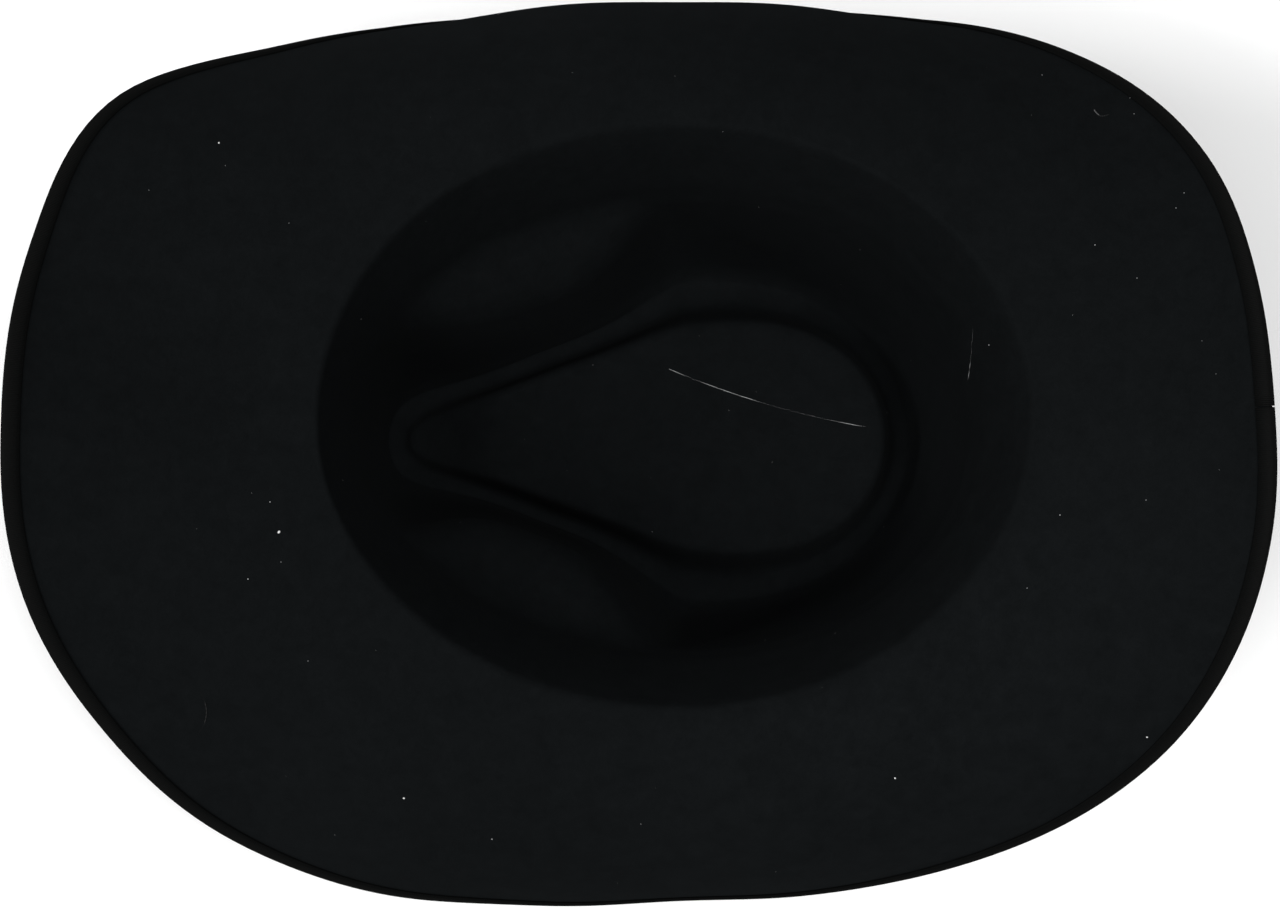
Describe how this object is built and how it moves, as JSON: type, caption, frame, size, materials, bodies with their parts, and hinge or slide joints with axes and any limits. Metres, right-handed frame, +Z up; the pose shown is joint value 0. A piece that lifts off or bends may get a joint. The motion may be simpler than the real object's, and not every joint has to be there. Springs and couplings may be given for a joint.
{
  "type": "felt cowboy hat",
  "caption": "Black felt cowboy hat with a teardrop crown, pinched front and a rolled brim bound at its edge, lying upside down on its crown.",
  "frame": {"origin": "middle of the hat's length and width, on the surface that its crown rests on", "axes": "+Z up out of the head opening of the hat as it lies upside down, +X to the back of the hat, +Y to the wearer's left side"},
  "size_m": [0.3626, 0.2762, 0.1358],
  "materials": {
    "black_felt": "matte black wool felt with a short nap",
    "edge_cloth": "matte black woven strip"
  },
  "bodies": {
    "root": {"felt_body": "black_felt", "edge_binding": "edge_cloth"}
  },
  "joints": []
}
